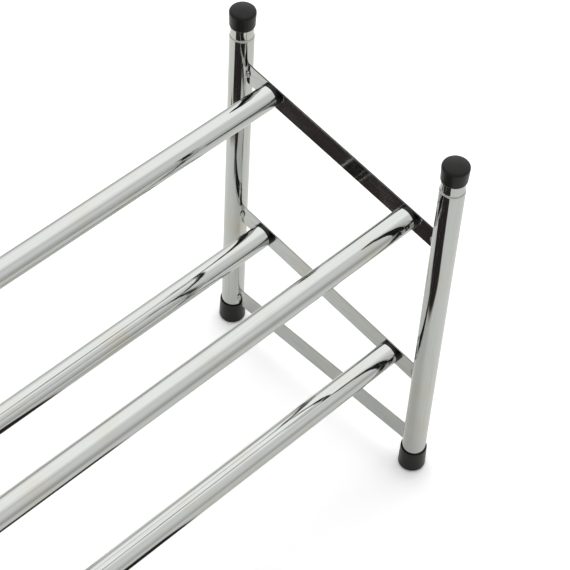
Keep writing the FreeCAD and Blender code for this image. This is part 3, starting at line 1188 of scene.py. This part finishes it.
@dataclass
class Studio:
    """A pale floor, a pale tent with soft light from overhead, and the camera.

    Chrome shows what stands round it. The floor carries painted dark reflections. These are dark
    patches that only mirror images see, and they stand for dark things that are nowhere in the scene:
    three that the posts and the upper strips mirror, of which the middle one is seen only from beyond
    its reach, by mirrors high over the floor, and two that show only in what is mirrored twice. Mirror
    images also see painted shade, which greys the floor under the rack and far away. The left of the
    tent is dim for mirror images, and nearly dark where it is mirrored twice.

    The tent's depth, rise, left and glow levels are parts of a direction, from -1 to 1.
    """

    floor_size: float = 14000.0
    floor_colour: str = "#e9e9e7"
    floor_shown: float = 1.36
    floor_tint: Place = (1.0, 1.0, 0.965)
    floor_mirrored: float = 0.96
    # Painted shade: mirror images see the floor grow greyer from fade_from to fade_to, down to
    # floor_far.
    floor_far: float = 0.7
    fade_from: float = 520.0
    fade_to: float = 1300.0
    # Painted shade under the rack, which only mirror images see.
    shade: Patch = Patch(-290.0, 290.0, -130.0, 0.0, 60.0)
    shade_mirrored: float = 0.8
    # Painted dark reflections: floor patches that only mirror images see, dark and warm, standing for
    # dark things that are not in the scene.
    mat_tint: Place = (1.22, 1.02, 1.02)
    mat_mirrored: float = 0.035
    mat_front: Patch = Patch(-300.0, 128.0, -232.0, 62.0, 11.0)
    mat_middle: Patch = Patch(64.0, 121.0, 45.0, 275.0, 5.0)
    mat_rear: Patch = Patch(-300.0, 38.0, 40.0, 205.0, 9.0)
    mat_tubes: Patch = Patch(-3000.0, 30.0, -500.0, 200.0, 30.0)
    mat_strips: Patch = Patch(-3000.0, 0.0, 180.0, 540.0, 30.0)
    middle_reach: Span = (295.0, 325.0)
    key_place: Place = (700.0, 500.0, 2300.0)
    key_size: float = 2200.0
    key_power: float = 16.0
    tent_light: float = 0.68
    wall_front: float = 0.6
    wall_rear: float = 0.88
    wall_depth: Span = (-0.6, 0.4)
    wall_top: float = 0.92
    wall_rise: Span = (0.0, 0.45)
    glow: float = 0.44
    glow_toward: Place = (0.48, 0.42, 0.77)
    glow_levels: Span = (0.6, 0.93)
    left_span: Span = (-0.24, -0.12)
    left_once: float = 0.7
    left_twice: float = 0.03
    focal_pixels: float = 2047.645
    frame_pixels: float = 570.0
    sensor_width: float = 36.0
    clip_near: float = 50.0
    clip_far: float = 60000.0
    yaw: float = 0.744006
    pitch: float = -0.864361
    roll: float = 0.0647498
    stand: Place = (-495.31, -684.89, 1353.99)

    def build(self) -> None:
        """Set up the studio."""
        self.camera()
        self.floor()
        self.world()
        self.lamp()
        bpy.context.scene.view_settings.view_transform = "Standard"

    def camera(self) -> None:
        """Stand the camera where it looks down on the right end of the rack."""
        outwards = math.cos(self.pitch)
        sine, cosine = math.sin(self.yaw), math.cos(self.yaw)
        ahead = Vector((cosine * outwards, sine * outwards, math.sin(self.pitch)))
        level = Vector((sine, -cosine, 0.0))
        upright = level.cross(ahead)
        right = level * math.cos(self.roll) + upright * math.sin(self.roll)
        up = upright * math.cos(self.roll) - level * math.sin(self.roll)
        lens = bpy.data.cameras.new("camera")
        lens.sensor_width = self.sensor_width
        lens.lens = self.sensor_width * self.focal_pixels / self.frame_pixels
        lens.clip_start = self.clip_near * MM
        lens.clip_end = self.clip_far * MM
        camera = bpy.data.objects.new("camera", lens)
        bpy.context.scene.collection.objects.link(camera)
        place = Matrix.Translation(Vector(self.stand) * MM)
        turn = Matrix((right, up, -ahead)).transposed().to_4x4()
        camera.matrix_world = place @ turn
        bpy.context.scene.camera = camera

    def floor(self) -> None:
        """Lay the floor: white to the camera, with the rack's own shadow, and with painted dark
        reflections and painted shade for mirrors.
        """
        bpy.ops.object.select_all(action="DESELECT")
        bpy.ops.mesh.primitive_plane_add(size=self.floor_size * MM, location=(0, 0, 0))
        floor = bpy.context.object
        floor.name = "studio_floor"
        material, tree = new_material("matt white studio floor")
        path = add_node(tree, "LightPath").outputs
        shown = (self.floor_shown, self.floor_shown, self.floor_shown, 1.0)
        colour = linear(self.floor_colour)
        for ray, change in (
            (path["Is Camera Ray"], shown),
            (path["Is Glossy Ray"], self.mirrored_floor(tree, path)),
        ):
            colours = {"Factor": ray, "A": colour, "B": change}
            colour = add_node(tree, "Mix", colours, data_type="RGBA")
        matt = add_node(tree, "BsdfDiffuse", {"Color": colour})
        close_surface(tree, matt)
        floor.data.materials.append(material)

    def mirrored_floor(self, tree: Tree, path: Sockets) -> Node:
        """Colour the floor as mirror images see it.

        Args:
            tree: The floor's tree.
            path: The outputs of its light path node.

        Returns:
            The floor with its painted dark reflections, paler in the open, and with painted shade
            greying it far away and under the rack.
        """
        place = add_node(tree, "TexCoord").outputs["Object"]
        reach = (path["Ray Length"], *(length * MM for length in self.middle_reach))
        from_high = add_node(tree, "MapRange", reach)
        twice = self.mirrored_twice(tree, path)
        # Gather the painted dark reflections into one mask.
        dark_reflection_mask = 0.0
        for painted_patch, seen in (
            (self.mat_front, 1.0),
            (self.mat_middle, from_high),
            (self.mat_rear, 1.0),
            (self.mat_tubes, twice),
            (self.mat_strips, twice),
        ):
            mask = (painted_patch.mask(tree, place), seen)
            both = (dark_reflection_mask, add_node(tree, "Math", mask, operation="MULTIPLY"))
            dark_reflection_mask = add_node(tree, "Math", both, operation="MAXIMUM")
        # Mirror images see painted shade under the rack and the painted dark reflections on the floor.
        grey = self.floor_mirrored
        for mask, change in (
            (self.shade.mask(tree, place), self.shade_mirrored),
            (dark_reflection_mask, self.mat_mirrored),
        ):
            grey = add_node(tree, "Mix", {"Factor": mask, "A": grey, "B": change})
        # Painted shade: for mirror images the floor greys with distance.
        away = add_node(tree, "VectorMath", (place,), operation="LENGTH")
        fade = (away, self.fade_from * MM, self.fade_to * MM, 1.0, self.floor_far)
        both = (grey, add_node(tree, "MapRange", fade))
        faded = add_node(tree, "Math", both, operation="MULTIPLY")
        tints = {"Factor": dark_reflection_mask, "A": (*self.floor_tint, 1.0), "B": (*self.mat_tint, 1.0)}
        tint = add_node(tree, "Mix", tints, data_type="RGBA")
        return add_node(tree, "VectorMath", {0: tint, "Scale": faded}, operation="SCALE")

    def mirrored_twice(self, tree: Tree, path: Sockets) -> Node:
        """Return 1 where a mirror shows another mirror's image of the studio, and otherwise 0."""
        return add_node(tree, "MapRange", (path["Glossy Depth"], 1.0, 2.0))

    def world(self) -> None:
        """Light the studio like a white tent: pale walls, brighter overhead, and dim to the left."""
        world = bpy.data.worlds.new("studio tent")
        bpy.context.scene.world = world
        world.use_nodes = True
        tree = world.node_tree
        tree.nodes.clear()
        heading = add_node(tree, "TexCoord").outputs["Generated"]
        parts = add_node(tree, "SeparateXYZ", (heading,)).outputs
        path = add_node(tree, "LightPath").outputs
        walls = (parts["Y"], *self.wall_depth, self.wall_front, self.wall_rear)
        horizon = add_node(tree, "MapRange", walls)
        wall = add_node(tree, "MapRange", (parts["Z"], *self.wall_rise, horizon, self.wall_top))
        toward = (heading, Vector(self.glow_toward).normalized())
        facing = add_node(tree, "VectorMath", toward, operation="DOT_PRODUCT")
        levels = (facing, *self.glow_levels, 0.0, self.glow)
        glow = add_node(tree, "MapRange", levels, interpolation_type="SMOOTHSTEP")
        tent = add_node(tree, "Math", (wall, glow), operation="ADD")
        twice = self.mirrored_twice(tree, path)
        left = add_node(tree, "Mix", {"Factor": twice, "A": self.left_once, "B": self.left_twice})
        dim = add_node(tree, "MapRange", (parts["X"], *self.left_span, left, 1.0))
        mirrored = add_node(tree, "Math", (tent, dim), operation="MULTIPLY")
        lit = add_node(tree, "Math", (tent, self.tent_light), operation="MULTIPLY")
        for ray, change in ((path["Is Glossy Ray"], mirrored), (path["Is Camera Ray"], 1.0)):
            lit = add_node(tree, "Mix", {"Factor": ray, "A": lit, "B": change})
        light = add_node(tree, "Background", {"Color": (1, 1, 1, 1), "Strength": lit})
        add_node(tree, "OutputWorld", {"Surface": light})

    def lamp(self) -> None:
        """Hang one large softbox overhead, for the soft shadow on the floor."""
        light = bpy.data.lights.new("overhead softbox", "AREA")
        light.shape = "SQUARE"
        light.size = self.key_size * MM
        light.energy = self.key_power
        lamp = bpy.data.objects.new("overhead_softbox", light)
        bpy.context.scene.collection.objects.link(lamp)
        lamp.location = Vector(self.key_place) * MM
        lamp.rotation_euler = (-lamp.location).to_track_quat("-Z", "Y").to_euler()
        lamp.visible_glossy = False


# --- main -------------------------------------------------------------------------------------


def main() -> None:
    """Build the studio and every sub-assembly."""
    logging.basicConfig(level=logging.INFO, format="%(name)s: %(message)s")
    Studio().build()
    finishes = Finishes()
    Posts(finishes).build()
    Strips(finishes).build()
    SlidingTubes(finishes).build()


if __name__ == "__main__":
    main()
